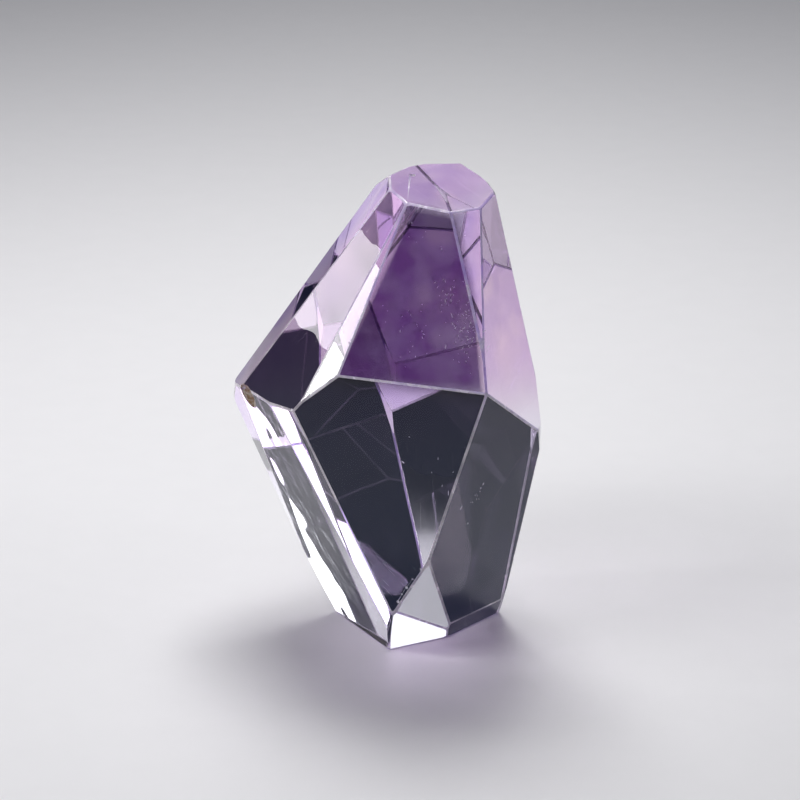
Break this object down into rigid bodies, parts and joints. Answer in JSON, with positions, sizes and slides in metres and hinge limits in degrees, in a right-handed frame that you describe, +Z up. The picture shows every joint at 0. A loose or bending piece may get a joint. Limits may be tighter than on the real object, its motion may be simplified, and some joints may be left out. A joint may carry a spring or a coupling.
{
  "type": "polished scorolite crystal",
  "caption": "Clear lavender quartz freeform, cut and polished flat all over, tall and wide-waisted, standing on a flat foot facet.",
  "frame": {"origin": "on the surface it stands on, under the middle of the stone's box", "axes": "+Z up along the stone's length, -Y towards the broad front facets, +X to the right seen from the front"},
  "size_m": [0.0308, 0.0374, 0.0478],
  "materials": {
    "lavender_quartz": "clear polished quartz, lavender in the upper half and colourless below"
  },
  "bodies": {
    "root": {"crystal": "lavender_quartz"}
  },
  "joints": []
}
